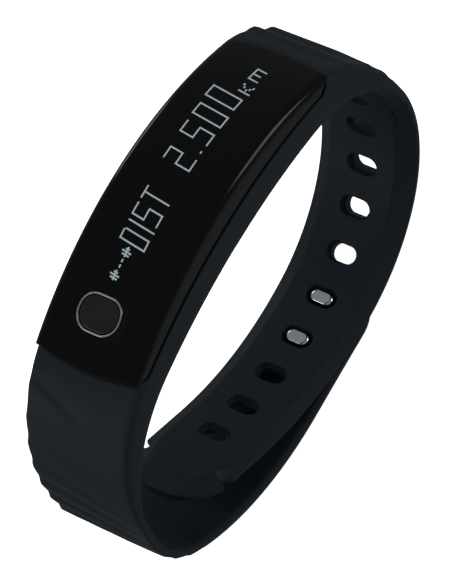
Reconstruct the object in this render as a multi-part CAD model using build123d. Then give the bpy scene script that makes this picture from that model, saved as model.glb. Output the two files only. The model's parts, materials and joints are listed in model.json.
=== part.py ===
from build123d import *
import math
import os

# A fitness tracker band worn on the wrist.  Millimetres.
# X runs along the wrist, Y along the display, Z out of the display.
# The origin is the middle of the opening that the wrist fills.

# ---- driving dimensions ----
BAND_WIDTH = 16.5          # across the rubber band at the display
OPENING_TOP = 22.2         # wrist side of the rubber, under the middle of the display
CRADLE_RADIUS = 80.0       # wrist side of the rubber cradle
SEAM_TOP, SEAM_RADIUS = 27.2, 72.0      # line where the glossy cover meets the rubber
COVER_TOP, COVER_RADIUS = 31.5, 52.0    # outside of the glossy cover
FLOOR = 0.8                # rubber under the tracker module
FLOOR_WINDOW = (9.6, 30.0)  # opening in that floor, for the charging contacts

STRAP_HALF_WIDTH = 7.2     # both straps taper to this at their ends
HOLE_STRAP_THICK, HOLE_SHOULDER = 1.8, 6.6     # and where the strap leaves the module
STUD_STRAP_THICK, STUD_SHOULDER = 1.4, 5.9
SLOT_PITCH = 6.9
SLOT_COUNT = 10
STUDDED_SLOTS = (6, 7)     # counted from the display
SLOT_SIZE = (4.0, 2.5)     # hole that a stud passes through
POCKET_SIZE = (4.8, 3.0)   # shallow pocket round each hole, on the wrist side
POCKET_DEPTH = 0.8

MODULE_Y = 0.9             # middle of the module's length
CASE_WIDTH, CASE_LENGTH = 13.7, 45.8    # lower half of the module
CASE_WALL = 0.8
COVER_WIDTH, COVER_LENGTH = 16.1, 50.6
COVER_END_BOW = 0.95       # how far each end of the cover bulges out
COVER_WALL = 1.1
END_SLOPE = (2.2, 1.3)     # length and rise of the slope under each end of the cover
POCKET_GAP = 0.1           # all round the module in its rubber pocket

BUTTON_X, BUTTON_Y = -0.4, -17.6        # middle of the button
BUTTON_SIZE = (6.6, 5.4)   # outside of its bright ring
RING_WIDTH = 0.35
BUTTON_GAP = 0.08
BUTTON_TRAVEL = 0.3

CUT_GAP = 0.12             # between the stiff lengths that a flexing strap is divided into


# ---- the line that the rubber follows round the wrist ----
class Run:
    """A chain of (radius, turn in degrees) arcs and (0, length) straights.

    It starts under the middle of the display, heads off to one side and turns down
    round the wrist.  A length along it is called `far`.
    """

    def __init__(self, side, pieces):
        self.side = side
        self.pieces = pieces

    def at(self, far):
        """Point, direction of travel and outward direction, in the YZ plane."""
        y, z, heading = 0.0, OPENING_TOP, 0.0
        for radius, amount in self.pieces:
            length = abs(radius * math.radians(amount)) if radius else amount
            step = min(far, length)
            if radius:
                turned = heading + math.copysign(step / abs(radius), amount)
                bend = math.copysign(radius, amount)
                y += bend * (math.sin(turned) - math.sin(heading))
                z -= bend * (math.cos(heading) - math.cos(turned))
                heading = turned
            else:
                y += step * math.cos(heading)
                z -= step * math.sin(heading)
            far -= step
            if far <= 1e-9:
                break
        ahead = Vector(0, self.side * math.cos(heading), -math.sin(heading))
        outward = Vector(0, self.side * math.sin(heading), math.cos(heading))
        return Vector(0, self.side * y, z), ahead, outward

    def plane(self, far, offset=0.0):
        """Plane whose Z points outward, with X along the wrist."""
        point, _, outward = self.at(far)
        return Plane(point + outward * offset, x_dir=(1, 0, 0), z_dir=outward)


SIDE_RADIUS = 22.6         # of the hole strap, round the side of the wrist
hole_run = Run(+1, [(CRADLE_RADIUS, 13.8), (20.0, 76.2), (0, 0.47), (SIDE_RADIUS, 86.7),
                    (43.5, 34.0), (0, 25.0)])
stud_run = Run(-1, [(CRADLE_RADIUS, 13.6), (19.4, 76.4), (0, 2.33), (18.0, 47.0), (38.0, 43.0),
                    (0, 13.75), (24.6, 20.0)])

FIRST_STUD_FAR = 80.5      # along the hole strap to the sixth slot
slot_far = [FIRST_STUD_FAR + SLOT_PITCH * (n - STUDDED_SLOTS[0]) for n in range(1, SLOT_COUNT + 1)]
TAIL_HINGE_FAR = slot_far[6] + SLOT_PITCH / 2
HOLE_END_FAR = slot_far[-1] + 14.0
CLASP_HINGE_FAR = 76.0
STUD_END_FAR = 110.6
TIP_LENGTH = 7.0           # of the rounded end of each strap


def ease(value, start, end):
    """0 before start, 1 after end, smooth between."""
    part = min(max((value - start) / (end - start), 0.0), 1.0)
    return part * part * (3 - 2 * part)


def rounded(far, end, squareness):
    """Width factor that rounds off a strap's end in plan."""
    part = min(max((far - end + TIP_LENGTH) / TIP_LENGTH, 0.0), 1.0)
    return (1 - part ** squareness) ** (1 / squareness)


def section(run, far, thick, half_width, face_half_width, bevel, lift=0.0, chamfer=0.3):
    """Eight-sided cross-section: flat wrist face, sloping bevels, thin rim, eased outer edges."""
    point, _, outward = run.at(far)
    half = [
        (face_half_width, lift),
        (half_width, max(bevel, lift + 0.05)),
        (half_width, thick - chamfer),
        (half_width - chamfer, thick),
    ]
    outline = half + [(-x, offset) for x, offset in reversed(half)]
    corners = [point + Vector(x, 0, 0) + outward * offset for x, offset in outline]
    return Face(Wire.make_polygon(corners, close=True))


def face_rise(far):
    """How far the face round the slots stands towards the wrist, where the strap is thicker."""
    return 0.7 * ease(far, 30, 44) * (1 - ease(far, 66, 80))


def hole_section(far):
    """The strap with the slots: a thick shoulder that thins to a flat strap with bevelled edges."""
    slim = ease(far, 20, 42)
    thick = HOLE_SHOULDER + (HOLE_STRAP_THICK - HOLE_SHOULDER) * slim
    taper = ease(far, 35, 100)
    half_width = BAND_WIDTH / 2 + (STRAP_HALF_WIDTH - BAND_WIDTH / 2) * taper
    half_width *= rounded(far, HOLE_END_FAR, 2.1)
    face = BAND_WIDTH / 2 - 0.2 + (5.3 - BAND_WIDTH / 2 + 0.2) * ease(far, 32, 52)
    face = min(face, half_width - 0.2)
    bevel = 0.15 + 0.8 * ease(far, 32, 52)
    lift = 0.9 * ease(far, HOLE_END_FAR - 5.0, HOLE_END_FAR - 1.5) - face_rise(far)
    return section(hole_run, far, thick, half_width, face, bevel, lift)


def stud_section(far):
    """The strap with the clasp: a thick shoulder that thins to a plain flat strap."""
    slim = ease(far, 17, 44)
    thick = STUD_SHOULDER + (STUD_STRAP_THICK - STUD_SHOULDER) * slim
    half_width = BAND_WIDTH / 2 + (STRAP_HALF_WIDTH - BAND_WIDTH / 2) * ease(far, 35, 100)
    half_width *= rounded(far, STUD_END_FAR, 2.2)
    return section(stud_run, far, thick, half_width, half_width - 0.2, 0.2)


def strap_length(make_section, start, end, step=4.0):
    """A loft through sections about `step` apart, closer together towards a rounded end."""
    count = max(2, round((end - start) / step))
    places = [start + (end - start) * n / count for n in range(count + 1)]
    last = HOLE_END_FAR if make_section is hole_section else STUD_END_FAR
    if end >= last - 0.5:
        square_end = last - TIP_LENGTH
        places = [p for p in places if p < square_end - 1.0]
        places += [last - TIP_LENGTH * rest for rest in (1.0, 0.75, 0.5, 0.3, 0.15, 0.06, 0.015)]
    return loft([make_section(place) for place in places])


# ---- heights in the module, along the display ----
def arc_height(top, radius, y):
    return top - radius + math.sqrt(radius ** 2 - y ** 2)


def cover_height(y):
    return arc_height(COVER_TOP, COVER_RADIUS, y)


def bowed_slab(top, radius, thickness, y_start, y_end, width):
    """A slab bent along Y: its upper face is the arc given, and it is `width` across X."""
    y_middle = (y_start + y_end) / 2
    inner_radius = radius - thickness
    centre = top - radius

    def on(r, y):
        # both faces end on the same radial line, so the slab's ends are square to it
        lean = y / radius
        return (0, r * math.sin(lean), centre + r * math.cos(lean))

    upper = ThreePointArc(on(radius, y_start), on(radius, y_middle), on(radius, y_end))
    lower = ThreePointArc(on(inner_radius, y_start), on(inner_radius, y_middle), on(inner_radius, y_end))
    ends = [Line(upper @ 0, lower @ 0), Line(upper @ 1, lower @ 1)]
    face = make_face(Curve() + [upper, lower] + ends)
    return extrude(face, width / 2, dir=(1, 0, 0), both=True)


def arc_along(top, radius, start, end):
    """Arc in the YZ plane whose highest point is over Y = 0."""
    middle = (start + end) / 2
    return ThreePointArc(*[(0, y, arc_height(top, radius, y)) for y in (start, middle, end)])


def above_arc(top, radius, length, width, middle=0.0, ceiling=40.0):
    """Everything above an arc that spans Y about `middle`, up to a flat ceiling."""
    start, end = middle - length / 2, middle + length / 2
    arc = arc_along(top, radius, start, end)
    box = Polyline(arc @ 0, (0, start, ceiling), (0, end, ceiling), arc @ 1)
    face = make_face(Curve() + [arc, box])
    return extrude(face, width / 2, dir=(1, 0, 0), both=True)


def upright_box(width, length, z_low, z_high, corner=0.0, x=0.0, y=0.0):
    outline = RectangleRounded(width, length, corner) if corner else Rectangle(width, length)
    return extrude(Plane((x, y, z_low)) * outline, z_high - z_low)


def upright_rod(diameter, z_low, z_high, x=0.0, y=0.0):
    return extrude(Plane((x, y, z_low)) * Circle(diameter / 2), z_high - z_low)


# ---- the module's outside shapes, shared by the module and the pocket it sits in ----
def cover_envelope(grow=0.0, edge_radius=0.0):
    """Outside of the cover: curved top, ends bowed in plan and undercut towards the seam."""
    half = COVER_LENGTH / 2 + grow
    start, end = MODULE_Y - half, MODULE_Y + half
    width = COVER_WIDTH / 2 + grow
    start_arc = ThreePointArc((-width, start + COVER_END_BOW), (0, start), (width, start + COVER_END_BOW))
    end_arc = ThreePointArc((-width, end - COVER_END_BOW), (0, end), (width, end - COVER_END_BOW))
    sides = [Line(start_arc @ corner, end_arc @ corner) for corner in (0, 1)]
    column = extrude(make_face(Curve() + [start_arc, end_arc] + sides), 40)

    seam = arc_along(SEAM_TOP - grow, SEAM_RADIUS, start + END_SLOPE[0], end - END_SLOPE[0])
    top = arc_along(COVER_TOP, COVER_RADIUS, start, end)
    start_slope = Polyline(seam @ 0, (0, start, (seam @ 0).Z + END_SLOPE[1]), top @ 0)
    end_slope = Polyline(seam @ 1, (0, end, (seam @ 1).Z + END_SLOPE[1]), top @ 1)
    side = make_face(Curve() + [seam, top, start_slope, end_slope])
    block = extrude(side, width, dir=(1, 0, 0), both=True)
    if edge_radius:
        long_edges = [edge for edge in block.edges() if edge.length > 40 and edge.center().Z > SEAM_TOP]
        block = fillet(long_edges, edge_radius)
    return column & block


CASE_BOTTOM = OPENING_TOP + FLOOR
CASE_INSIDE = CASE_BOTTOM + CASE_WALL
CASE_RIM = SEAM_TOP - 0.35             # the gasket fills the rest of the way to the seam
CAVITY_WIDTH = CASE_WIDTH - 2 * CASE_WALL
CAVITY_LENGTH = CASE_LENGTH - 2 * CASE_WALL


def button_plane(depth):
    """Plane square to the cover at the button, with Z pointing out; depth is below the cover's face."""
    lean = math.asin(BUTTON_Y / COVER_RADIUS)
    outward = Vector(0, math.sin(lean), math.cos(lean))
    centre = Vector(BUTTON_X, BUTTON_Y, cover_height(BUTTON_Y))
    return Plane(centre - outward * depth, x_dir=(1, 0, 0), z_dir=outward)


def oval_block(size, depth_top, depth_bottom, shrink=0.0):
    """A block with rounded ends, square to the cover at the button."""
    width, length = size[0] - 2 * shrink, size[1] - 2 * shrink
    outline = RectangleRounded(width, length, min(width, length) / 2 - 0.25)
    return extrude(button_plane(depth_bottom) * outline, depth_bottom - depth_top)


SCREW_PLACES = [(x, MODULE_Y + y) for x in (-5.05, 5.05) for y in (-20.7, 20.7)]
SCREW_MEET = 24.0          # height where the case's posts meet the cover's bosses
BOARD_POSTS = (-3.6, 3.6)  # where posts under the button board stand


# ---- rubber pieces ----
MIDDLE_LENGTH = 41.0       # of the straight-sided part that the module sits in
STRAP_START_FAR = 19.6     # each strap is drawn from here, just inside that part
BOSS_DIAMETER = 1.8        # of the posts that take the screws
SCREW_HOLE = 1.0
SCREW_RECESS = 1.6


def band_cradle():
    """The one rubber moulding that holds the module, with the roots of both straps."""
    middle = above_arc(OPENING_TOP, CRADLE_RADIUS, MIDDLE_LENGTH, BAND_WIDTH)
    middle -= above_arc(SEAM_TOP, SEAM_RADIUS, MIDDLE_LENGTH + 2, BAND_WIDTH + 2)
    hole_side = strap_length(hole_section, STRAP_START_FAR, TAIL_HINGE_FAR - CUT_GAP / 2)
    stud_side = strap_length(stud_section, STRAP_START_FAR, CLASP_HINGE_FAR - CUT_GAP / 2)
    body = middle + hole_side + stud_side
    body -= cover_envelope(POCKET_GAP)
    room = 2 * POCKET_GAP
    body -= above_arc(CASE_BOTTOM, CRADLE_RADIUS, CASE_LENGTH + room, CASE_WIDTH + room, MODULE_Y)
    body -= upright_box(*FLOOR_WINDOW, 15, 30, corner=2.0, y=MODULE_Y)
    for far in slot_far[:7]:
        body -= slot_cut(far)
    return body


def slot_cut(far):
    """One oval slot through the strap, with its shallow pocket on the wrist side."""
    start = -1 - face_rise(far)
    hole = extrude(hole_run.plane(far, start) * SlotOverall(*SLOT_SIZE), HOLE_STRAP_THICK + 4)
    pocket = extrude(hole_run.plane(far, start) * SlotOverall(*POCKET_SIZE), POCKET_DEPTH + 1)
    return hole + pocket


def hole_strap_tail():
    """Free end of the strap with the slots: the last three slots and the rounded tip."""
    body = strap_length(hole_section, TAIL_HINGE_FAR + CUT_GAP / 2, HOLE_END_FAR)
    for far in slot_far[7:]:
        body -= slot_cut(far)
    notch_far = HOLE_END_FAR - TIP_LENGTH
    for side in (-1, 1):
        place = hole_run.plane(notch_far, -1) * Pos(side * STRAP_HALF_WIDTH, 0, 0)
        body -= extrude(place * Circle(1.0), HOLE_STRAP_THICK + 2)
    return body


studded_points = [hole_run.at(slot_far[number - 1])[0] for number in STUDDED_SLOTS]
PLATE_SIZE = (9.0, 12.6)
PLATE_THICK = 0.5
PLATE_Y = (studded_points[0].Y + studded_points[1].Y) / 2
STUD_STRAP_LOW = -24.6 - STUD_STRAP_THICK      # outside of the stud strap where it runs flat
PLATE_TOP = STUD_STRAP_LOW + 0.4
NECK_SIZE = (2.9, 1.4)
HEAD_SIZE = (3.6, 2.0)


def clasp_studs():
    """Stainless plate on the outside of the strap, with two oval studs that go through it."""
    body = upright_box(*PLATE_SIZE, PLATE_TOP - PLATE_THICK, PLATE_TOP, corner=3.0, y=PLATE_Y)
    for point in studded_points:
        head_low = point.Z - POCKET_DEPTH + 0.15
        head_high = point.Z + 0.05
        body += extrude(Plane((0, point.Y, PLATE_TOP)) * SlotOverall(*NECK_SIZE), head_low - PLATE_TOP)
        head = extrude(Plane((0, point.Y, head_low)) * SlotOverall(*HEAD_SIZE), head_high - head_low)
        head = fillet(head.faces().sort_by(Axis.Z)[-1].edges(), 0.45)
        body += head
    return body


def stud_strap_end():
    """Free end of the strap that carries the clasp."""
    body = strap_length(stud_section, CLASP_HINGE_FAR + CUT_GAP / 2, STUD_END_FAR)
    body -= upright_box(*PLATE_SIZE, -30, PLATE_TOP, corner=3.0, y=PLATE_Y)
    for point in studded_points:
        body -= extrude(Plane((0, point.Y, -30)) * SlotOverall(*NECK_SIZE), 8)
    return body


# ---- module shell ----
def top_cover():
    """Glossy black top shell with rounded long edges, a button hole and four screw bosses."""
    body = cover_envelope(edge_radius=1.3)
    hollow = above_arc(10, CRADLE_RADIUS, CAVITY_LENGTH, CAVITY_WIDTH, MODULE_Y)
    hollow -= above_arc(COVER_TOP - COVER_WALL, COVER_RADIUS - COVER_WALL, CAVITY_LENGTH + 2,
                        CAVITY_WIDTH + 2, MODULE_Y)
    body -= hollow
    for x, y in SCREW_PLACES:
        body += upright_rod(BOSS_DIAMETER, SCREW_MEET, cover_height(y) - COVER_WALL / 2, x, y)
        body -= upright_rod(SCREW_HOLE, SCREW_MEET - 1, SCREW_MEET + 2, x, y)
    body -= oval_block(BUTTON_SIZE, -3, COVER_WALL + 1)
    return body


def lower_case():
    """Matt black tray that holds the battery and boards, sitting in the rubber cradle."""
    outside = above_arc(CASE_BOTTOM, CRADLE_RADIUS, CASE_LENGTH, CASE_WIDTH, MODULE_Y)
    block = outside - above_arc(CASE_RIM, SEAM_RADIUS, CASE_LENGTH + 2, CASE_WIDTH + 2, MODULE_Y)
    body = block - above_arc(CASE_INSIDE, CRADLE_RADIUS, CAVITY_LENGTH, CAVITY_WIDTH, MODULE_Y)
    for x, y in SCREW_PLACES:
        body += upright_rod(BOSS_DIAMETER, CASE_BOTTOM - 4, SCREW_MEET, x, y) & outside
    for x in BOARD_POSTS:
        body += upright_rod(1.4, CASE_BOTTOM - 3, 30, x, BUTTON_Y) & outside & below_button_board()
    for x, y in SCREW_PLACES:
        body -= upright_rod(SCREW_RECESS, 10, SCREW_MEET - 0.9, x, y)
        body -= upright_rod(SCREW_HOLE, 10, SCREW_MEET + 1, x, y)
    for x in CONTACT_PLACES:
        body -= upright_rod(CONTACT_DIAMETER, CASE_BOTTOM - 1, CASE_INSIDE + 1, x, 0)
    return body


def case_gasket():
    """Thin rubber ring that seals the tray to the cover."""
    ring = above_arc(CASE_RIM, SEAM_RADIUS, CASE_LENGTH - 0.2, CASE_WIDTH - 0.2, MODULE_Y)
    ring -= above_arc(SEAM_TOP, SEAM_RADIUS, CASE_LENGTH + 2, CASE_WIDTH + 2, MODULE_Y)
    ring -= above_arc(10, CRADLE_RADIUS, CAVITY_LENGTH, CAVITY_WIDTH, MODULE_Y)
    return ring - cover_envelope()


def case_screws():
    """Four tiny screws that hold the tray to the cover from below."""
    screws = []
    for x, y in SCREW_PLACES:
        head = upright_rod(SCREW_RECESS - 0.1, SCREW_MEET - 1.4, SCREW_MEET - 0.9, x, y)
        shank = upright_rod(SCREW_HOLE, SCREW_MEET - 0.9, SCREW_MEET + 1.8, x, y)
        socket = upright_rod(0.7, SCREW_MEET - 1.5, SCREW_MEET - 1.15, x, y)
        screws.append(head + shank - socket)
    return Compound(screws)


CONTACT_DIAMETER = 1.6
CONTACT_PLACES = [-3.6, -1.2, 1.2, 3.6]


def charging_contacts():
    """Four gold-plated pads under the module, where a charger clips on."""
    return Compound([upright_rod(CONTACT_DIAMETER, CASE_BOTTOM - 0.15, CASE_INSIDE, x, 0) for x in CONTACT_PLACES])


# ---- display, boards and battery ----
PANEL_START, PANEL_END = -13.2, 22.6
PANEL_THICK, PANEL_WIDTH = 0.7, 8.2
PANEL_TOP = COVER_TOP - COVER_WALL
PANEL_RADIUS = COVER_RADIUS - COVER_WALL
BOARD_LENGTH, BOARD_WIDTH, BOARD_THICK = 25.0, 11.4, 0.6
BATTERY_SIZE = (10.6, 23.0, 2.4)
BATTERY_LOW = CASE_INSIDE + 0.3
FOAM_THICK = 0.2
BOARD_LOW = BATTERY_LOW + BATTERY_SIZE[2] + FOAM_THICK
BOARD_HIGH = BOARD_LOW + BOARD_THICK


def oled_panel():
    """Curved display laminated to the underside of the cover."""
    return bowed_slab(PANEL_TOP, PANEL_RADIUS, PANEL_THICK, PANEL_START, PANEL_END, PANEL_WIDTH)


def oled_ribbon():
    """Flat cable that turns back from the panel's end to the end of the main board."""
    thick = 0.12
    lean = PANEL_START / PANEL_RADIUS
    middle_radius = PANEL_RADIUS - PANEL_THICK / 2
    y_start = middle_radius * math.sin(lean)
    z_start = PANEL_TOP - PANEL_RADIUS + middle_radius * math.cos(lean)
    z_end = BOARD_LOW + BOARD_THICK / 2
    turn = (z_start - z_end) / 2
    y_board = -BOARD_LENGTH / 2
    path = [(y_start - 0.25, z_start), (y_start - 0.25 - turn, z_start - turn), (y_start - 0.25, z_end)]
    outer = ThreePointArc((0, path[0][0], z_start + thick / 2), (0, path[1][0] - thick / 2, path[1][1]),
                          (0, path[2][0], z_end - thick / 2))
    inner = ThreePointArc((0, path[0][0], z_start - thick / 2), (0, path[1][0] + thick / 2, path[1][1]),
                          (0, path[2][0], z_end + thick / 2))
    top_run = Polyline(outer @ 0, (0, y_start, z_start + thick / 2), (0, y_start, z_start - thick / 2), inner @ 0)
    low_run = Polyline(outer @ 1, (0, y_board, z_end - thick / 2), (0, y_board, z_end + thick / 2), inner @ 1)
    ribbon = extrude(make_face(Curve() + [outer, inner, top_run, low_run]), 2.5, dir=(1, 0, 0), both=True)
    return ribbon - oled_panel()


def main_board():
    """Main circuit board, lying on the battery."""
    return upright_box(BOARD_WIDTH, BOARD_LENGTH, BOARD_LOW, BOARD_HIGH, corner=0.8)


def chip(width, length, height, x, y):
    return upright_box(width, length, BOARD_HIGH, BOARD_HIGH + height, x=x, y=y)


def processor_chip():
    return chip(5.0, 5.0, 0.85, -1.4, -3.2)


def motion_sensor_chip():
    return chip(2.5, 2.5, 0.8, 2.6, 2.2)


def radio_antenna():
    return chip(1.6, 5.2, 0.6, 4.4, 8.0)


def small_board_parts():
    """Crystal, memory, inductors and capacitors round the processor."""
    parts = [chip(3.0, 3.0, 0.7, -2.6, 3.4), chip(2.0, 1.6, 0.6, 3.4, -2.0), chip(1.6, 1.6, 0.7, 3.6, -5.2)]
    parts += [chip(0.6, 1.0, 0.4, -4.9, y) for y in (-7.0, -5.4, -3.8, 4.0, 5.6)]
    parts += [chip(1.0, 0.6, 0.4, x, 6.4) for x in (-3.0, -1.4, 0.2)]
    return Compound(parts)


def battery():
    """Lithium polymer pouch."""
    width, length, height = BATTERY_SIZE
    return fillet(upright_box(width, length, BATTERY_LOW, BATTERY_LOW + height).edges().filter_by(Axis.Y), 0.7)


def battery_pad():
    """Adhesive pad that fills the curved floor under the flat battery."""
    pad = upright_box(8.0, 18.0, 15, BATTERY_LOW)
    pad &= above_arc(CASE_INSIDE, CRADLE_RADIUS, CAVITY_LENGTH, CAVITY_WIDTH)
    for x in CONTACT_PLACES:
        pad -= upright_rod(CONTACT_DIAMETER + 0.2, 15, CASE_INSIDE + 0.1, x, 0)
    return pad


def battery_foam():
    """Thin foam sheet between the battery and the main board."""
    return upright_box(9.0, 20.0, BOARD_LOW - FOAM_THICK, BOARD_LOW)


# ---- vibration motor, lying across the far end ----
MOTOR_Y = 17.4
MOTOR_DIAMETER = 3.2
MOTOR_X = (-5.4, 1.4)
MOTOR_Z = arc_height(CASE_INSIDE, CRADLE_RADIUS, MOTOR_Y) + MOTOR_DIAMETER / 2 + 0.3
WEIGHT_X = (1.8, 4.6)
SHAFT_DIAMETER = 0.6


def rod_along_x(diameter, start, end, y, z):
    return extrude(Plane((start, y, z), x_dir=(0, 1, 0), z_dir=(1, 0, 0)) * Circle(diameter / 2), end - start)


def motor_can():
    """Motor with a blind bore for its shaft."""
    can = rod_along_x(MOTOR_DIAMETER, *MOTOR_X, MOTOR_Y, MOTOR_Z)
    return can - rod_along_x(SHAFT_DIAMETER + 0.06, MOTOR_X[1] - 3.0, MOTOR_X[1] + 1, MOTOR_Y, MOTOR_Z)


def motor_saddle():
    """Rubber saddle that holds the motor on the floor of the tray."""
    saddle = upright_box(4.6, 4.0, 15, MOTOR_Z - 0.4, x=-2.0, y=MOTOR_Y)
    saddle &= above_arc(CASE_INSIDE, CRADLE_RADIUS, CAVITY_LENGTH, CAVITY_WIDTH)
    return saddle - rod_along_x(MOTOR_DIAMETER, *MOTOR_X, MOTOR_Y, MOTOR_Z)


def motor_weight():
    """Off-centre half-round weight on the motor's shaft."""
    disc = rod_along_x(MOTOR_DIAMETER - 0.2, *WEIGHT_X, MOTOR_Y, MOTOR_Z)
    lower_half = Pos(3.0, MOTOR_Y, MOTOR_Z - 2.5 + 0.3) * Box(6, 6, 5)
    shaft = rod_along_x(SHAFT_DIAMETER, MOTOR_X[1] - 2.8, WEIGHT_X[1], MOTOR_Y, MOTOR_Z)
    return (disc & lower_half) + shaft


# ---- button ----
CAP_PROUD = 0.12
FLANGE_TOP = COVER_WALL + 0.1
FLANGE_THICK = 0.4
PLUNGER_END = FLANGE_TOP + FLANGE_THICK + 0.4
DOME_TOP = PLUNGER_END + BUTTON_TRAVEL + 0.05
SWITCH_LOW = DOME_TOP + 0.8
SWITCH_BOARD = 0.5


def button_ring():
    """Bright metal ring pressed into the cover round the button."""
    ring = oval_block(BUTTON_SIZE, -0.05, COVER_WALL - 0.1)
    return ring - oval_block(BUTTON_SIZE, -1, COVER_WALL + 1, shrink=RING_WIDTH)


def button_cap():
    """Glossy button with a flange that keeps it in, and a plunger."""
    body = oval_block(BUTTON_SIZE, -CAP_PROUD, FLANGE_TOP, shrink=RING_WIDTH + BUTTON_GAP)
    body += oval_block(BUTTON_SIZE, FLANGE_TOP, FLANGE_TOP + FLANGE_THICK, shrink=-0.1)
    plunger = extrude(button_plane(PLUNGER_END) * Circle(0.9), PLUNGER_END - FLANGE_TOP)
    return body + plunger


def dome_switch():
    """Square switch with a metal snap dome."""
    base = extrude(button_plane(SWITCH_LOW) * Rectangle(4.0, 4.0), 0.5)
    dome = extrude(button_plane(SWITCH_LOW - 0.5) * Circle(1.6), 0.3, taper=35)
    return base + dome


def button_board():
    """Small board under the button."""
    return extrude(button_plane(SWITCH_LOW + SWITCH_BOARD) * RectangleRounded(9.4, 4.6, 0.6), SWITCH_BOARD)


def below_button_board():
    """Space under the button board, for the posts that carry it."""
    return extrude(button_plane(SWITCH_LOW + SWITCH_BOARD) * Rectangle(20, 20), -12)


NODES = {
    "band_cradle": band_cradle,
    "hole_strap_tail": hole_strap_tail,
    "stud_strap_end": stud_strap_end,
    "clasp_studs": clasp_studs,
    "top_cover": top_cover,
    "lower_case": lower_case,
    "case_gasket": case_gasket,
    "case_screws": case_screws,
    "charging_contacts": charging_contacts,
    "oled_panel": oled_panel,
    "oled_ribbon": oled_ribbon,
    "main_board": main_board,
    "processor_chip": processor_chip,
    "motion_sensor_chip": motion_sensor_chip,
    "radio_antenna": radio_antenna,
    "small_board_parts": small_board_parts,
    "battery": battery,
    "battery_pad": battery_pad,
    "battery_foam": battery_foam,
    "motor_can": motor_can,
    "motor_saddle": motor_saddle,
    "motor_weight": motor_weight,
    "button_ring": button_ring,
    "button_cap": button_cap,
    "dome_switch": dome_switch,
    "button_board": button_board,
}

os.makedirs("parts", exist_ok=True)
for name, make in NODES.items():
    export_step(make(), f"parts/{name}.step")
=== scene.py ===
import json
import math
import bmesh
import bpy
from mathutils import Matrix, Vector


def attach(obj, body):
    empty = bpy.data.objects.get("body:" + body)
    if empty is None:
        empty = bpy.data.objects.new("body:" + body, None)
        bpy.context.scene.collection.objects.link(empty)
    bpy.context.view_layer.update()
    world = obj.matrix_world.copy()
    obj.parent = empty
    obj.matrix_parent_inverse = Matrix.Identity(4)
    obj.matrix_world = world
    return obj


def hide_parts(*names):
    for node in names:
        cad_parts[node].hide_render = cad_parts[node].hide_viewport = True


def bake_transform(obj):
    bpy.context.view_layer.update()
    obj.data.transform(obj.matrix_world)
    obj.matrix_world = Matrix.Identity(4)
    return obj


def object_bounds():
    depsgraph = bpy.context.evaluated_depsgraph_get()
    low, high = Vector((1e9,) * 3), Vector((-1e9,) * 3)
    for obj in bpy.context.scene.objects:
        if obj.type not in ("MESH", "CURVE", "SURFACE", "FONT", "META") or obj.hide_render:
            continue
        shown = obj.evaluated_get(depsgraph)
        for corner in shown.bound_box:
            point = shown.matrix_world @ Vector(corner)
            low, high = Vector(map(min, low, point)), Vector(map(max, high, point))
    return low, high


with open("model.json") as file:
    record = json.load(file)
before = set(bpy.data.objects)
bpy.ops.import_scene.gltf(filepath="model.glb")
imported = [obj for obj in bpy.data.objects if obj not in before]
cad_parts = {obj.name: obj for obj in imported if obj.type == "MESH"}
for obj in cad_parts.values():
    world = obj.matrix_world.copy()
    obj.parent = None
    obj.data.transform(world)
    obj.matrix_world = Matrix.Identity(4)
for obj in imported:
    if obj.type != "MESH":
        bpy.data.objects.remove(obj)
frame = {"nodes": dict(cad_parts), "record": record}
box_at_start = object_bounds()


# ---- rubber band ----
# One soft silicone moulding, matte blue-black: a cradle for the tracker with a strap each way.
# Its shoulders are ribbed across and thin out to flat straps, and one strap has ten oval slots.
# It is drawn as two halves that meet under the display.
MM = 0.001


class Wire:
    """A value in a material's node tree that takes ordinary arithmetic."""

    def __init__(self, paint, socket):
        self.paint, self.socket = paint, socket

    def maths(self, operation, first, second):
        node = self.paint.node("ShaderNodeMath", {"operation": operation}, {0: first, 1: second})
        return Wire(self.paint, node.outputs[0])

    def __add__(self, other):
        return self.maths("ADD", self, other)

    def __radd__(self, other):
        return self.maths("ADD", other, self)

    def __mul__(self, other):
        return self.maths("MULTIPLY", self, other)

    def __rmul__(self, other):
        return self.maths("MULTIPLY", other, self)


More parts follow.
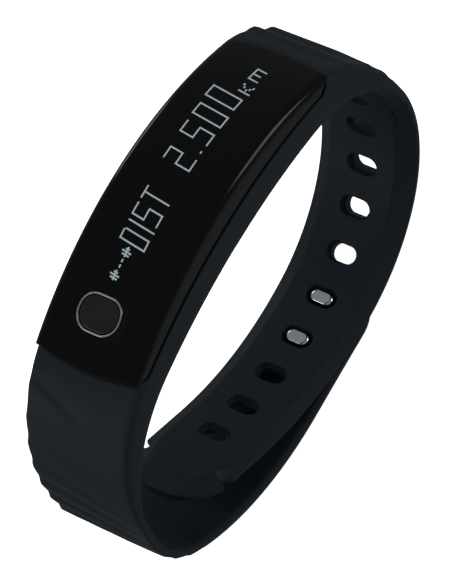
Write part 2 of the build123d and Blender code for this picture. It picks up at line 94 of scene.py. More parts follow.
class Paint:
    """A material that is being mixed, and the shader that it ends in."""

    def __init__(self, name, **constants):
        self.material = bpy.data.materials.new(name)
        self.material.use_nodes = True
        self.tree = self.material.node_tree
        self.shader = self.tree.nodes["Principled BSDF"]
        self.set(self.shader, constants)

    def set(self, node, values):
        for name, value in values.items():
            key = name.replace("_", " ") if isinstance(name, str) else name
            if isinstance(value, Wire):
                self.tree.links.new(value.socket, node.inputs[key])
            else:
                node.inputs[key].default_value = value

    def node(self, kind, settings=None, values=None):
        made = self.tree.nodes.new(kind)
        for name, value in (settings or {}).items():
            setattr(made, name, value)
        self.set(made, values or {})
        return made

    def place(self, stretch=(1, 1, 1)):
        """Position on the piece, in metres, stretched along each axis."""
        where = Wire(self, self.node("ShaderNodeTexCoord").outputs["Object"])
        node = self.node("ShaderNodeVectorMath", {"operation": "MULTIPLY"}, {0: where, 1: stretch})
        return Wire(self, node.outputs[0])

    def noise(self, scale, detail=3.0, stretch=(1, 1, 1)):
        values = {"Vector": self.place(stretch), "Scale": scale, "Detail": detail}
        node = self.node("ShaderNodeTexNoise", None, values)
        return Wire(self, node.outputs["Fac"])

    def steps(self, value, low, high):
        """0 below low and 1 above high."""
        node = self.node("ShaderNodeMapRange", None, {"Value": value, "From Min": low, "From Max": high})
        return Wire(self, node.outputs["Result"])

    def mix(self, share, first, second):
        node = self.node("ShaderNodeMix", {"data_type": "RGBA"}, {0: share, 6: (*first, 1), 7: (*second, 1)})
        return Wire(self, node.outputs[2])

    def finish(self, colour, roughness, height=None, depth=0.0):
        self.set(self.shader, {"Base Color": colour, "Roughness": roughness})
        if height is not None:
            bump = self.node("ShaderNodeBump", None, {"Height": height, "Distance": depth, "Strength": 1.0})
            self.tree.links.new(bump.outputs[0], self.shader.inputs["Normal"])
        return self.material


paint = Paint("silicone_rubber", Specular_IOR_Level=0.20)
cloud = paint.noise(90, 2.0)
grain = paint.noise(5200, 2.0)
dust = paint.steps(paint.noise(1500, 4.0), 0.60, 0.80)
rubber_colour = paint.mix(cloud * 0.75 + dust * 0.25, (0.0070, 0.0115, 0.0155), (0.0105, 0.0165, 0.0215))
rubber = paint.finish(rubber_colour, 0.46 + 0.12 * cloud + 0.08 * grain, grain, 0.000012)


class Skin:
    """Points, in millimetres, and faces of a mesh that is being built."""

    def __init__(self):
        self.points, self.faces = [], []

    def loop(self, points):
        first = len(self.points)
        self.points += [tuple(point) for point in points]
        return list(range(first, len(self.points)))

    def bridge(self, first, second, closed=True):
        count = len(first)
        for n in range(count if closed else count - 1):
            m = (n + 1) % count
            self.faces.append((first[n], first[m], second[m], second[n]))

    def make(self, name, material, sharp=38):
        mesh = bpy.data.meshes.new(name)
        mesh.from_pydata([[value * MM for value in point] for point in self.points], [], self.faces)
        solid = bmesh.new()
        solid.from_mesh(mesh)
        bmesh.ops.remove_doubles(solid, verts=solid.verts, dist=0.002 * MM)
        bmesh.ops.recalc_face_normals(solid, faces=solid.faces)
        solid.to_mesh(mesh)
        solid.free()
        mesh.shade_smooth()
        mesh.set_sharp_from_angle(angle=math.radians(sharp))
        mesh.materials.append(material)
        piece = bpy.data.objects.new(name, mesh)
        bpy.context.scene.collection.objects.link(piece)
        return piece


def settle(piece, sharp=38):
    """Applies the piece's modifiers to its mesh."""
    bpy.context.view_layer.update()
    shaped = piece.evaluated_get(bpy.context.evaluated_depsgraph_get())
    mesh = bpy.data.meshes.new_from_object(shaped)
    piece.modifiers.clear()
    piece.data = mesh
    mesh.shade_smooth()
    mesh.set_sharp_from_angle(angle=math.radians(sharp))


def ease(value, start, end):
    part = min(max((value - start) / (end - start), 0.0), 1.0)
    return part * part * (3 - 2 * part)


def rounded(far, end, squareness, length=7.0):
    """Width factor that rounds a strap's end over the given length."""
    part = min(max((far - end + length) / length, 0.0), 1.0)
    return (1 - part ** squareness) ** (1 / squareness)


class Run:
    """The wrist side of the rubber, followed from under the display: (radius, degrees) or (0, length)."""

    def __init__(self, side, pieces):
        self.side, self.pieces = side, pieces

    def at(self, far, x=0.0, offset=0.0):
        """The point that is `far` along, x across the band and offset outwards from the wrist side."""
        y, z, heading = 0.0, OPENING_TOP, 0.0
        for radius, amount in self.pieces:
            length = abs(radius * math.radians(amount)) if radius else amount
            step = min(far, length)
            if radius:
                bend = math.copysign(radius, amount)
                turned = heading + step / bend
                y += bend * (math.sin(turned) - math.sin(heading))
                z -= bend * (math.cos(heading) - math.cos(turned))
                heading = turned
            else:
                y += step * math.cos(heading)
                z -= step * math.sin(heading)
            far -= step
            if far <= 1e-9:
                break
        y += offset * math.sin(heading)
        z += offset * math.cos(heading)
        return (x, self.side * y, z)


OPENING_TOP = 22.2
BAND_HALF, STRAP_HALF = 8.25, 7.2
HOLE_SHOULDER, HOLE_STRAP_THICK = 6.6, 1.8
STUD_SHOULDER, STUD_STRAP_THICK = 5.9, 1.4
hole_run = Run(+1, [(80, 13.8), (20, 76.2), (0, 0.47), (22.6, 86.7), (43.5, 34), (0, 25)])
stud_run = Run(-1, [(80, 13.6), (19.4, 76.4), (0, 2.33), (18, 47), (38, 43), (0, 13.75), (24.6, 20)])
SLOT_PITCH = 6.9
slot_far = [46.0 + SLOT_PITCH * n for n in range(10)]
HOLE_END, STUD_END, TIP_LENGTH = slot_far[-1] + 14.0, 110.6, 7.0
NOTCH_FAR, NOTCH_RADIUS = HOLE_END - TIP_LENGTH, 1.0
FACE_START_HALF, FACE_HALF = 8.05, 5.3
COLUMNS = 20               # faces across the wrist side, and across the outside
SLOT_ROWS = 10             # faces along the strap at each slot


def face_rise(far):
    """How far the raised face stands towards the wrist, where the strap is thicker."""
    return 0.7 * ease(far, 30, 44) * (1 - ease(far, 66, 80))


def hole_shape(far):
    """Half width, half width of the raised face, bevel height, sink of the face, thickness."""
    thick = HOLE_SHOULDER + (HOLE_STRAP_THICK - HOLE_SHOULDER) * ease(far, 20, 42)
    half = BAND_HALF + (STRAP_HALF - BAND_HALF) * ease(far, 35, 100)
    half *= rounded(far, HOLE_END, 2.1)
    into_notch = abs(far - NOTCH_FAR) / NOTCH_RADIUS
    if into_notch < 1:
        half -= NOTCH_RADIUS * math.sqrt(1 - into_notch ** 2)
    flat = ease(far, 32, 52)
    face = FACE_START_HALF + (FACE_HALF - FACE_START_HALF) * flat
    face *= max(rounded(far, HOLE_END - 2.4, 2.2), 0.03)
    bevel = 0.15 + 0.8 * flat
    sink = 0.88 * ease(far, HOLE_END - 4.6, HOLE_END - 2.5) - face_rise(far)
    return half, face, bevel, sink, thick


def stud_shape(far):
    thick = STUD_SHOULDER + (STUD_STRAP_THICK - STUD_SHOULDER) * ease(far, 17, 44)
    half = BAND_HALF + (STRAP_HALF - BAND_HALF) * ease(far, 35, 100)
    half *= rounded(far, STUD_END, 2.2)
    return half, half - 0.25, 0.2, 0.0, thick


HOLE_RIB_PITCH, HOLE_RIB_HEIGHT = 4.1, 0.34
STUD_RIB_PITCH, STUD_RIB_HEIGHT = 4.0, 0.17


def hole_ribs(far, x):
    """Three broad ribs straight across the shoulder next to the readout's end."""
    height = HOLE_RIB_HEIGHT * ease(far, 25.5, 27) * (1 - ease(far, 36, 40)) * (1 - 0.7 * ease(x, 2, 8))
    return height * math.sin((far - 26.6) / HOLE_RIB_PITCH * 2 * math.pi)


def stud_ribs(far, x):
    """Nine slanting ribs that fade towards one edge, higher up sooner than lower down."""
    slant = 0.38 - 0.30 * ease(far, 30, 58)
    along = (far - 25.0 - slant * (x + BAND_HALF)) / STUD_RIB_PITCH * 2 * math.pi
    fade_from = -3.0 + (far - 30) * 0.25
    height = STUD_RIB_HEIGHT * ease(far, 23, 26) * (1 - ease(far, 59, 64))
    height *= 1 - 0.9 * ease(x, fade_from, fade_from + 9)
    return height * math.sin(along + 0.55 * math.sin(along))


def ring(shape, ribs, far):
    """Points (x, offset) round the band at one place: wrist side, near edge, outside, far edge."""
    half, face, bevel, sink, thick = shape(far)
    half = max(half, 0.05)
    face = min(face, half * 0.93)
    radius = min(0.9, 0.3 * (thick - bevel), half * 0.5)
    corner = min(0.14, half * 0.1)
    run_out, climb = half - corner - face, bevel - sink
    slope = [(face + run_out * part, sink + climb * part) for part in (0.3, 0.65, 1.0)]
    wall = [(half - corner * 0.25, bevel + corner * 0.4), (half, bevel + corner)]
    rise = thick - radius - bevel - corner
    wall += [(half, bevel + corner + rise * part) for part in (0.33, 0.67)]
    turns = [math.radians(angle) for angle in (0, 22.5, 45, 67.5)]
    edge = [(half - radius + radius * math.cos(a), thick - radius + radius * math.sin(a)) for a in turns]
    side = slope + wall + edge
    inner = [(-face + 2 * face * n / COLUMNS, sink) for n in range(COLUMNS + 1)]
    outer = [((half - radius) * (1 - 2 * n / COLUMNS), thick) for n in range(COLUMNS + 1)]
    points = inner + side + outer + [(-x, offset) for x, offset in reversed(side)]
    return [(x, offset + ribs(far, x) * ease(offset, thick - radius, thick)) for x, offset in points]


def oval_reach(direction, half_x, half_y, corner):
    """Distance from an oval's centre to its outline; the corners are round with the given radius."""
    near, away = 0.0, half_x + half_y
    for _ in range(24):
        middle = (near + away) / 2
        x = abs(direction[0]) * middle - (half_x - corner)
        y = abs(direction[1]) * middle - (half_y - corner)
        outside = math.hypot(max(x, 0), max(y, 0)) + min(max(x, y), 0) - corner
        near, away = (middle, away) if outside < 0 else (near, middle)
    return near


def open_slot(skin, run, rows, places):
    """Fills the strap at one slot, leaving the slot and the pocket round it open."""
    side = len(rows[0]) // 2 - COLUMNS - 1

    def border(first, last):
        """Columns first to last of the rows, once round."""
        step = 1 if last > first else -1
        columns = list(range(first, last, step))
        found = [rows[0][c] for c in columns] + [row[last] for row in rows[:-1]]
        found += [rows[-1][c] for c in range(last, first, -step)]
        return found + [row[first] for row in reversed(rows[1:])]

    middle = (places[0] + places[-1]) / 2
    wrist = border(0, COLUMNS)
    outside = border(2 * COLUMNS + 1 + side, COLUMNS + 1 + side)
    span_x = skin.points[rows[0][COLUMNS]][0]
    spots = [(-span_x + 2 * span_x * n / COLUMNS, places[0]) for n in range(COLUMNS)]
    spots += [(span_x, far) for far in places[:-1]]
    spots += [(span_x - 2 * span_x * n / COLUMNS, places[-1]) for n in range(COLUMNS)]
    spots += [(-span_x, far) for far in reversed(places[1:])]
    directions = []
    for x, far in spots:
        length = math.hypot(x, far - middle)
        directions.append((x / length, (far - middle) / length))

    def oval(size, offset, part=1.0, on_face=True):
        """Loop of an oval with round ends, or part of the way from the border to it."""
        loop = []
        for direction, (x, far) in zip(directions, spots):
            reach = oval_reach(direction, size[0] / 2, size[1] / 2, min(size) / 2)
            x += (direction[0] * reach - x) * part
            far += (middle + direction[1] * reach - far) * part
            loop.append(run.at(far, x, offset - (face_rise(far) if on_face else 0)))
        return skin.loop(loop)

    rim = (5.9, 4.1)
    loops = [wrist] + [oval(rim, 0, part) for part in (0.07, 0.3, 0.6, 0.85, 1.0)]
    loops += [oval((5.05, 3.25), 0), oval((4.8, 3.0), 0.1), oval((4.76, 2.96), 0.72)]
    loops += [oval((4.6, 2.9), 0.8), oval((4.12, 2.62), 0.8), oval((4.0, 2.5), 0.86)]
    loops += [oval((4.0, 2.5), HOLE_STRAP_THICK - 0.1, 1.0, False)]
    loops.append(oval((4.2, 2.7), HOLE_STRAP_THICK, 1.0, False))
    loops += [oval(rim, HOLE_STRAP_THICK, part, False) for part in (1.0, 0.8, 0.5, 0.2, 0.05)]
    loops.append(outside)
    for first, second in zip(loops, loops[1:]):
        skin.bridge(first, second)


def strap_skin(run, shape, ribs, fars, slots=()):
    """The rubber's surface along one run, through rings at the given places."""
    skin = Skin()
    rows = [skin.loop([run.at(far, x, offset) for x, offset in ring(shape, ribs, far)]) for far in fars]
    side = len(rows[0]) // 2 - COLUMNS - 1
    faces_across = list(range(COLUMNS)) + list(range(COLUMNS + 1 + side, 2 * COLUMNS + 1 + side))
    starts = [min(range(len(fars)), key=lambda n: abs(fars[n] - slot + SLOT_PITCH / 2)) for slot in slots]
    slotted = {row for start in starts for row in range(start, start + SLOT_ROWS)}
    count = len(rows[0])
    for n in range(len(rows) - 1):
        for m in range(count):
            if n in slotted and m in faces_across:
                continue
            beside = (m + 1) % count
            skin.faces.append((rows[n][m], rows[n][beside], rows[n + 1][beside], rows[n + 1][m]))
    for start in starts:
        span = slice(start, start + SLOT_ROWS + 1)
        open_slot(skin, run, rows[span], fars[span])
    skin.faces.append(tuple(rows[0]))
    skin.faces.append(tuple(rows[-1]))
    return skin


def spread(start, end, count):
    return [start + (end - start) * n / count for n in range(count)]


def closing(start, end, count):
    """Places that crowd together towards the end."""
    return [start + (end - start) * math.sin(math.pi / 2 * n / count) for n in range(count + 1)]


slots_start = slot_far[0] - SLOT_PITCH / 2
slots_end = slot_far[-1] + SLOT_PITCH / 2
hole_fars = spread(0, slots_start, 86) + spread(slots_start, slots_end, SLOT_ROWS * len(slot_far))
hole_fars += closing(slots_end, HOLE_END, 46)
stud_fars = spread(0, 66, 150) + spread(66, 104, 48) + closing(104, STUD_END, 22)
hole_skin = strap_skin(hole_run, hole_shape, hole_ribs, hole_fars, slot_far)
hole_rubber = hole_skin.make("rubber_slotted_half", rubber)
stud_skin = strap_skin(stud_run, stud_shape, stud_ribs, stud_fars)
stud_rubber = stud_skin.make("rubber_clasp_half", rubber)

# The pocket that the tracker sits in is cut out of both halves.
MODULE_Y = 0.9
SEAM_TOP, SEAM_RADIUS = 27.2, 72
POCKET_FLOOR, CRADLE_RADIUS = 23.0, 80
COVER_HALF, COVER_START, COVER_END, COVER_BOW = 8.05, MODULE_Y - 25.3, MODULE_Y + 25.3, 0.95
END_SLOPE = (2.2, 1.3)     # how far the cover's ends lean out, and over what height


def arc_height(top, radius, y):
    return top - radius + math.sqrt(radius ** 2 - y ** 2)


def seam_height(y):
    return arc_height(SEAM_TOP, SEAM_RADIUS, y)


def pocket_floor(y):
    return arc_height(POCKET_FLOOR, CRADLE_RADIUS, y)


def below_seam(y):
    return seam_height(y) - 0.04


def upright_block(outline, low, high):
    skin = Skin()
    loops = [skin.loop([(x, y, z) for x, y in outline]) for z in (low, high)]
    skin.bridge(*loops)
    skin.faces += [tuple(loops[0]), tuple(loops[1])]
    return skin.make("cutter", rubber)


def block_over_arc(start, end, height, half_width, top, bow=0.0, slope=(0.0, 0.0)):
    """Everything above an arc between two ends, which may bow out in plan and slope out upwards."""
    skin = Skin()
    loops = []
    for n in range(13):
        x = half_width * (n / 6 - 1)
        back = bow * (x / COVER_HALF) ** 2
        low, high = start + back + slope[0], end - back - slope[0]
        arc = [low + (high - low) * m / 30 for m in range(31)]
        points = [(x, y, height(y)) for y in arc]
        points += [(x, end - back, height(high) + slope[1]), (x, end - back, top), (x, start + back, top)]
        points += [(x, start + back, height(low) + slope[1])]
        loops.append(skin.loop(points))
    for first, second in zip(loops, loops[1:]):
        skin.bridge(first, second)
    skin.faces += [tuple(loops[0]), tuple(loops[-1])]
    return skin.make("cutter", rubber)


window = []
for n in range(32):
    angle = 2 * math.pi * n / 32
    x, y = math.cos(angle), math.sin(angle)
    window.append((math.copysign(2.8, x) + 2 * x, MODULE_Y + math.copysign(13, y) + 2 * y))
cutters = [
    block_over_arc(COVER_START - 0.1, COVER_END + 0.1, below_seam, 9.2, 40, COVER_BOW, END_SLOPE),
    block_over_arc(MODULE_Y - 23, MODULE_Y + 23, pocket_floor, 6.95, 39),
    upright_block(window, 15, 31),
]
for half in (hole_rubber, stud_rubber):
    for cutter in cutters:
        cut = half.modifiers.new("cut", "BOOLEAN")
        cut.operation, cut.solver, cut.object = "DIFFERENCE", "EXACT", cutter
    settle(half)
for cutter in cutters:
    bpy.data.objects.remove(cutter)

BEND_REACH = 3.5           # reach each way of a hinge
for half, joint, child, way in ((hole_rubber, "tail_flex", "strap_tail", (0, -1, -0.25)),
                                (stud_rubber, "clasp_peel", "clasp_end", (0, 1, -0.6))):
    reach = Vector(way).normalized() * BEND_REACH * MM
    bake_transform(half)
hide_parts("band_cradle", "hole_strap_tail")
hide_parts("stud_strap_end")

# ---- glossy cover ----
# Piano-black plastic shell over the whole display, curved along the wrist and rounded over its
# long edges.  It is screwed to the tray below and has a shallow dish moulded round the button.
paint = Paint("piano_black", IOR=1.45, Specular_IOR_Level=0.22)
smear = paint.noise(140, 5.0, (1, 0.35, 1))
scuff = paint.steps(paint.noise(2600, 2.0, (1, 6, 1)), 0.66, 0.90)
speck = paint.steps(paint.noise(3800, 1.0), 0.74, 0.80)
black = paint.mix(smear * 0.8 + speck * 0.2, (0.0008, 0.0008, 0.0010), (0.0022, 0.0021, 0.0025))
piano_black = paint.finish(black, 0.06 + 0.10 * smear + 0.10 * scuff, smear, 0.000015)

COVER_TOP, COVER_RADIUS = 31.5, 52
EDGE_RADIUS, TOP_FLAT = 1.3, 6.75
BUTTON_X, BUTTON_Y, BUTTON_HALF = -0.4, -17.6, (3.3, 2.7)
DISH_DEPTH, DISH_WIDTH = 0.22, 0.95
TOP_COLUMNS, COVER_ROWS = 24, 92


def cover_height(y):
    return arc_height(COVER_TOP, COVER_RADIUS, y)


def cover_point(x, rise, along):
    """Point of the cover: rise is (part of the wall, angle over the edge), along runs from 0 to 1."""
    wall, turn = rise
    bow = COVER_BOW * (x / COVER_HALF) ** 2
    above_seam = 0.8 * wall + EDGE_RADIUS * math.sin(turn)
    back = bow + END_SLOPE[0] * max(0.0, 1 - above_seam / END_SLOPE[1])
    y = COVER_START + back + (COVER_END - COVER_START - 2 * back) * along
    edge = max(cover_height(y) - EDGE_RADIUS, seam_height(y))
    z = seam_height(y) + (edge - seam_height(y)) * wall
    if wall == 1:
        z = edge + (cover_height(y) - edge) * math.sin(turn)
    return (x, y, z)


WALL_PARTS = [0, 0.25, 0.5, 0.75]
EDGE_TURNS = [math.pi / 2 * n / 8 for n in range(8)]
rises = [(COVER_HALF, (wall, 0.0)) for wall in WALL_PARTS]
rises += [(COVER_HALF - EDGE_RADIUS * (1 - math.cos(turn)), (1, turn)) for turn in EDGE_TURNS]
flat_top = [TOP_FLAT * (2 * n / TOP_COLUMNS - 1) for n in range(TOP_COLUMNS + 1)]
across = [(-x, rise) for x, rise in rises] + [(x, (1, math.pi / 2)) for x in flat_top] + list(reversed(rises))

skin = Skin()
rows = []
for n in range(COVER_ROWS + 1):
    rows.append(skin.loop([cover_point(x, rise, n / COVER_ROWS) for x, rise in across]))
first_top = len(rises)
row_ys = [skin.points[row[first_top + TOP_COLUMNS // 2]][1] for row in rows]
cell_rows = [n for n in range(COVER_ROWS + 1) if BUTTON_Y - 5.2 < row_ys[n] < BUTTON_Y + 4.4]
cell_columns = [n for n in range(TOP_COLUMNS + 1) if abs(flat_top[n] - BUTTON_X) < 5.7]
for n in range(COVER_ROWS):
    for m in range(len(across) - 1):
        in_cell = cell_rows[0] <= n < cell_rows[-1]
        if in_cell and first_top + cell_columns[0] <= m < first_top + cell_columns[-1]:
            continue
        skin.faces.append((rows[n][m], rows[n][m + 1], rows[n + 1][m + 1], rows[n + 1][m]))
for row, along in ((rows[0], 0), (rows[-1], 1)):
    below = row[first_top:first_top + TOP_COLUMNS + 1]
    for n in range(len(rises) - 1, -1, -1):
        half, rise = rises[n]
        level = skin.loop([cover_point(x * half / TOP_FLAT, rise, along) for x in flat_top])
        skin.bridge(below, level, closed=False)
        below = level
floor = [(row[0], row[-1]) for row in rows]
for (left, right), (next_left, next_right) in zip(floor, floor[1:]):
    skin.faces.append((left, right, next_right, next_left))

left, right = first_top + cell_columns[0], first_top + cell_columns[-1]
inside = rows[cell_rows[0]:cell_rows[-1] + 1]
border = [inside[0][n] for n in range(left, right)] + [row[right] for row in inside[:-1]]
border += [inside[-1][n] for n in range(right, left, -1)] + [row[left] for row in reversed(inside[1:])]
LEAN = math.asin(BUTTON_Y / COVER_RADIUS)


def on_cover(across_button, along_button, height):
    """A point near the button, from its middle: across, along the cover's face, and above the face."""
    y = BUTTON_Y + along_button * math.cos(LEAN)
    slant = math.asin(y / COVER_RADIUS)
    z = cover_height(y) + height * math.cos(slant)
    return (BUTTON_X + across_button, y + height * math.sin(slant), z)


headings = []
for point in (skin.points[n] for n in border):
    x, y = point[0] - BUTTON_X, (point[1] - BUTTON_Y) / math.cos(LEAN)
    headings.append((x / math.hypot(x, y), y / math.hypot(x, y)))


def button_loop(grow, height):
    """Loop round the button, this much outside the bright ring's outer edge."""
    half_x, half_y = BUTTON_HALF[0] + grow, BUTTON_HALF[1] + grow
    corner = min(half_x, half_y) - 0.25
    points = []
    for direction in headings:
        reach = oval_reach(direction, half_x, half_y, corner)
        points.append(on_cover(direction[0] * reach, direction[1] * reach, height))
    return points


loops = [border, skin.loop(button_loop(1.35, 0)), skin.loop(button_loop(1.12, 0))]
for n in range(1, 9):
    part = n / 8
    loops.append(skin.loop(button_loop(1.0 - DISH_WIDTH * part, -DISH_DEPTH * ease(part, 0, 1))))
loops += [skin.loop(button_loop(-0.15, -DISH_DEPTH)), skin.loop(button_loop(-0.17, -1.1))]
for first, second in zip(loops, loops[1:]):
    skin.bridge(first, second)
cover = skin.make("glossy_cover", piano_black, sharp=30)
bevel = cover.modifiers.new("soft_edges", "BEVEL")
bevel.width, bevel.segments, bevel.limit_method = 0.22 * MM, 3, "ANGLE"
bevel.angle_limit = math.radians(38)
settle(cover, sharp=60)
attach(cover, "module")
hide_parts("top_cover")

# ---- button ----
# A polished metal trim ring pressed into the cover, and the glossy black button inside it.
# The button is slightly domed and goes straight down with a click.
paint = Paint("trim_metal", Metallic=1.0)
wear = paint.noise(900, 3.0)
brush = paint.noise(5000, 2.0)
trim_colour = paint.mix(wear, (0.50, 0.45, 0.38), (0.66, 0.61, 0.54))
trim = paint.finish(trim_colour, 0.20 + 0.14 * brush, wear, 0.000001)

skin = Skin()
profile = [(-0.02, -0.9), (-0.02, -0.16), (-0.04, -0.07), (-0.1, -0.01), (-0.18, 0.02), (-0.26, 0.0),
           (-0.32, -0.06), (-0.34, -0.14), (-0.34, -0.9)]
loops = [skin.loop(button_loop(grow, height)) for grow, height in profile]
for first, second in zip(loops, loops[1:] + loops[:1]):
    skin.bridge(first, second)
ring_piece = skin.make("button_trim_ring", trim)
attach(ring_piece, "module")
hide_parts("button_ring")

paint = Paint("button_black", IOR=1.45)
haze = paint.noise(300, 4.0)
tone = paint.mix(haze, (0.004, 0.004, 0.005), (0.011, 0.010, 0.012))
button_black = paint.finish(tone, 0.10 + 0.14 * haze, haze, 0.00001)

skin = Skin()
edge_profile = [(-0.44, -1.15), (-0.44, -0.22), (-0.47, -0.13), (-0.54, -0.07), (-0.64, -0.04)]
loops = [skin.loop(button_loop(grow, height)) for grow, height in edge_profile]
for n in range(8):
    loops.append(skin.loop(button_loop(-0.8 - 0.28 * n, -0.02 + 0.05 * math.sin(n / 7 * math.pi / 2))))
for first, second in zip(loops, loops[1:]):
    skin.bridge(first, second)
skin.faces += [tuple(loops[0]), tuple(loops[-1])]
cap = skin.make("button_face", button_black)
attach(cap, "button")
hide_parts("button_cap")

# ---- readout ----
# Pale dots and strokes of the organic display, seen through the cover: a pair of small route
# marks, the word for distance, a number and its unit.  Drawn as thin bars just on the face.
paint = Paint("lit_pixels", Emission_Strength=0.34)
pixel = paint.steps(paint.noise(6000, 1.0), 0.30, 0.62)
glow = paint.mix(pixel, (0.50, 0.66, 0.74), (0.80, 0.92, 0.97))
paint.set(paint.shader, {"Emission Color": glow})
lit = paint.finish(paint.mix(pixel, (0.05, 0.07, 0.08), (0.09, 0.11, 0.12)), 0.30 + 0.15 * pixel)

# Each sign is drawn in a square from (0, 0) at its foot to (1, 1) at its head.
SIGNS = {
    "D": [[(0.0, 0.06), (0.0, 1), (0.85, 1)], [(1, 0.94), (1, 0.0)], [(0, 0), (0.85, 0)]],
    "I": [[(0, 1), (0, 0)]],
    "S": [[(1, 1), (0, 1), (0, 0.53), (1, 0.53), (1, 0), (0, 0)]],
    "T": [[(0, 1), (1, 1)], [(0.5, 1), (0.5, 0)]],
    "2": [[(0, 1), (1, 1), (1, 0.53), (0, 0.53), (0, 0), (1, 0)]],
    "0": [[(0, 0), (0, 1), (1, 1), (1, 0), (0, 0)]],
    ".": [[(0.4, 0.02), (0.6, 0.02)]],
    "k": [[(0, 0), (0, 1)], [(0.3, 0.5), (0.42, 0.5)], [(0.56, 0.8), (0.68, 0.8)], [(0.86, 1), (0.98, 1)],
          [(0.56, 0.26), (0.68, 0.26)], [(0.86, 0.06), (0.98, 0.06)]],
    "m": [[(0, 0), (0, 1), (1, 1), (1, 0)], [(0.5, 1), (0.5, 0.2)]],
    "mark": [[(0.5, 0.08), (0.5, 0.92)], [(0.15, 0.2), (0.15, 0.8)], [(0.82, 0.36), (0.82, 0.64)],
             [(0, 0.5), (1, 0.5)]],
    "dot": [[(0.35, 0.5), (0.65, 0.5)]],
}
# sign, foot along the display, width along it, foot across it, height across it
LINE_OF_SIGNS = [
    ("mark", -13.15, 1.15, 0.22, 1.5), ("dot", -11.7, 0.75, 0.35, 1.5), ("dot", -10.95, 0.75, 0.32, 1.5),
    ("mark", -9.95, 1.15, 0.35, 1.5), ("D", -8.38, 1.38, 1.78, 4.0), ("I", -5.83, 1.0, 1.86, 4.1),
    ("S", -4.93, 1.6, 1.74, 4.05), ("T", -2.52, 1.7, 1.71, 4.05), ("2", 3.68, 1.72, 1.56, 4.3),
    (".", 6.3, 0.9, 1.52, 4.3), ("S", 8.0, 1.75, 1.52, 4.55), ("0", 11.14, 1.8, 1.51, 4.74),
    ("0", 14.41, 1.86, 1.34, 4.86), ("k", 17.41, 1.3, 1.56, 1.68), ("m", 19.85, 1.97, 1.12, 1.45),
]
STROKE, SLANT = 0.11, 0.135

skin = Skin()
for sign, foot, width, baseline, height in LINE_OF_SIGNS:
    for line in SIGNS[sign]:
        spots = [(baseline - up * height, foot + along * width + up * height * SLANT) for along, up in line]
        for (x0, y0), (x1, y1) in zip(spots, spots[1:]):
            length = math.hypot(x1 - x0, y1 - y0)
            way = ((x1 - x0) / length, (y1 - y0) / length)
            bars = []
            for n in range(7):
                reach = -STROKE + (length + 2 * STROKE) * n / 6
                corners = []
                for aside, lift in ((STROKE, -0.06), (STROKE, 0.012), (-STROKE, 0.012), (-STROKE, -0.06)):
                    x = x0 + way[0] * reach - way[1] * aside
                    y = y0 + way[1] * reach + way[0] * aside
                    corners.append((x, y, cover_height(y) + lift))
                bars.append(skin.loop(corners))
            for first, second in zip(bars, bars[1:]):
                skin.bridge(first, second)
            skin.faces += [tuple(bars[0]), tuple(bars[-1])]
readout = skin.make("readout", lit)
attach(readout, "module")

# ---- clasp studs ----
# Polished stainless plate outside the strap, with two oval heads that come through its slots.
# The heads are rounded over and carry faint polishing lines.
paint = Paint("polished_steel", Metallic=1.0)
swirl = paint.noise(700, 3.0)
lines = paint.noise(2500, 2.0, (1, 9, 1))
steel_colour = paint.mix(swirl, (0.74, 0.73, 0.72), (0.88, 0.88, 0.88))
clasp_steel = paint.finish(steel_colour, 0.08 + 0.08 * lines, swirl, 0.0000006)
bpy.data.objects["clasp_studs"].data.materials.clear()
bpy.data.objects["clasp_studs"].data.materials.append(clasp_steel)

# ---- parts inside the tracker ----
# Moulded tray, seals, boards, battery and motor: seen only when the tracker is lifted out.
# Each keeps its shape and gets a finish with its own grain, mottling and wear.
# colour one, colour two, roughness, metallic, grain size, mottle size, grain depth
FINISHES = {
    "case_black": ((0.018, 0.018, 0.020), (0.034, 0.034, 0.037), 0.48, 0.0, 4200, 300, 0.00003),
    "seal_rubber": ((0.040, 0.040, 0.045), (0.070, 0.070, 0.076), 0.70, 0.0, 3000, 200, 0.00002),
    "screw_steel": ((0.45, 0.45, 0.46), (0.66, 0.66, 0.67), 0.30, 1.0, 6000, 900, 0.00001),
    "gold_plate": ((0.78, 0.55, 0.20), (0.95, 0.74, 0.36), 0.20, 1.0, 5000, 800, 0.000005),
    "display_glass": ((0.006, 0.008, 0.012), (0.014, 0.017, 0.024), 0.12, 0.0, 900, 150, 0.000004),
    "ribbon_amber": ((0.42, 0.18, 0.03), (0.66, 0.34, 0.08), 0.34, 0.0, 2000, 600, 0.000008),
    "board_green": ((0.010, 0.075, 0.035), (0.030, 0.170, 0.080), 0.38, 0.0, 1800, 420, 0.00002),
    "chip_black": ((0.020, 0.020, 0.023), (0.048, 0.048, 0.052), 0.55, 0.0, 7000, 700, 0.00001),
    "antenna_ceramic": ((0.62, 0.61, 0.56), (0.82, 0.81, 0.77), 0.62, 0.0, 5000, 700, 0.00001),
    "battery_foil": ((0.56, 0.57, 0.60), (0.82, 0.83, 0.85), 0.32, 1.0, 700, 240, 0.00006),
    "pad_grey": ((0.14, 0.14, 0.15), (0.26, 0.26, 0.27), 0.82, 0.0, 2600, 300, 0.00005),
    "motor_steel": ((0.40, 0.40, 0.42), (0.60, 0.60, 0.62), 0.34, 1.0, 3500, 500, 0.00001),
    "weight_metal": ((0.20, 0.20, 0.22), (0.36, 0.36, 0.38), 0.52, 1.0, 4500, 600, 0.00002),
}
finishes = {}
for name, (dark, light, rough, metal, grain_size, mottle_size, depth) in FINISHES.items():
    paint = Paint(name, Metallic=metal)
    mottle = paint.noise(mottle_size, 4.0)
    grain = paint.noise(grain_size, 2.0)
    worn = paint.steps(paint.noise(mottle_size * 2.3, 3.0), 0.55, 0.75)
    colour = paint.mix(mottle * 0.7 + worn * 0.3, dark, light)
    finishes[name] = paint.finish(colour, rough - 0.05 + 0.12 * mottle + 0.06 * worn, grain, depth)
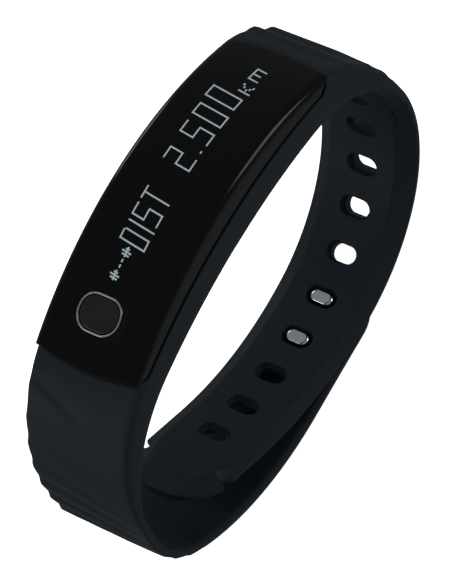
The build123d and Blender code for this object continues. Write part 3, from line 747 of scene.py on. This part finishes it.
for part in frame["record"]["subparts"]:
    node, kind = part["node"], part["material_slot"]
    if kind in finishes:
        piece = frame["nodes"][node]
        piece.data.materials.clear()
        piece.data.materials.append(finishes[kind])

# ---- floor, light and camera ----
# A wide white tabletop under the band, big soft boxes round it, and a long lens that looks down
# on the display from its button end.
paint = Paint("white_table", Emission_Strength=0.92)
shade = paint.noise(3, 3.0)
tint = paint.mix(shade, (0.90, 0.90, 0.90), (0.94, 0.94, 0.94))
paint.set(paint.shader, {"Emission Color": tint})
white = paint.finish(tint, 0.7 + 0.1 * shade, paint.noise(400, 2.0), 0.00002)
skin = Skin()
low_point = box_at_start[0].z / MM - 0.3
TABLE_HALF = 3000
corners = [(-1, -1), (1, -1), (1, 1), (-1, 1)]
skin.faces.append(tuple(skin.loop([(x * TABLE_HALF, y * TABLE_HALF, low_point) for x, y in corners])))
table = skin.make("table_top", white)
table.visible_diffuse = table.visible_glossy = False

world = bpy.data.worlds.new("studio")
world.use_nodes = True
world.node_tree.nodes["Background"].inputs["Color"].default_value = (0.92, 0.96, 1.0, 1)
world.node_tree.nodes["Background"].inputs["Strength"].default_value = 0.22
bpy.context.scene.world = world


def soft_box(name, way, size, brightness, mirrored=True, distance=500):
    """A rectangular lamp, in millimetres, that faces the band; it may show in glossy faces."""
    lamp = bpy.data.lights.new(name, "AREA")
    lamp.shape, lamp.size, lamp.size_y = "RECTANGLE", size[0] * MM, size[1] * MM
    lamp.energy = brightness * math.pi * lamp.size * lamp.size_y
    piece = bpy.data.objects.new(name, lamp)
    piece.visible_glossy = mirrored
    piece.location = Vector(way).normalized() * distance * MM
    piece.rotation_euler = piece.location.to_track_quat("Z", "Y").to_euler()
    bpy.context.scene.collection.objects.link(piece)


soft_box("near_end_box", (0.80, 0.60, 0.30), (200, 200), 3.6)
soft_box("far_edge_box", (-0.88, 0.42, 0.30), (150, 150), 3.0)
soft_box("wrist_side_box", (-0.45, -0.85, 0.08), (300, 300), 1.1)
soft_box("rib_box", (-0.55, -0.36, 0.75), (100, 100), 26.0, False)
soft_box("shoulder_box", (0.00, -0.10, 0.99), (100, 100), 12.0, False)
soft_box("near_side_box", (0.85, -0.25, 0.46), (200, 200), 2.4, False)

AIM = Vector((0, 0, 3.35)) * MM
AWAY = Vector((0.44986, -0.27491, 0.84973))
RIGHTWARD = Vector((0.82271, 0.49779, -0.27450))
camera_data = bpy.data.cameras.new("camera")
camera_data.sensor_width, camera_data.lens = 36, 217.24
camera_data.clip_start, camera_data.clip_end = 0.01, 20
camera = bpy.data.objects.new("camera", camera_data)
upward = AWAY.cross(RIGHTWARD).normalized()
facing = Matrix((RIGHTWARD.normalized(), upward, AWAY.normalized())).transposed()
camera.matrix_world = Matrix.Translation(AIM + AWAY.normalized() * 0.46854) @ facing.to_4x4()
bpy.context.scene.collection.objects.link(camera)
bpy.context.scene.camera = camera
bpy.context.scene.view_settings.view_transform = "Standard"
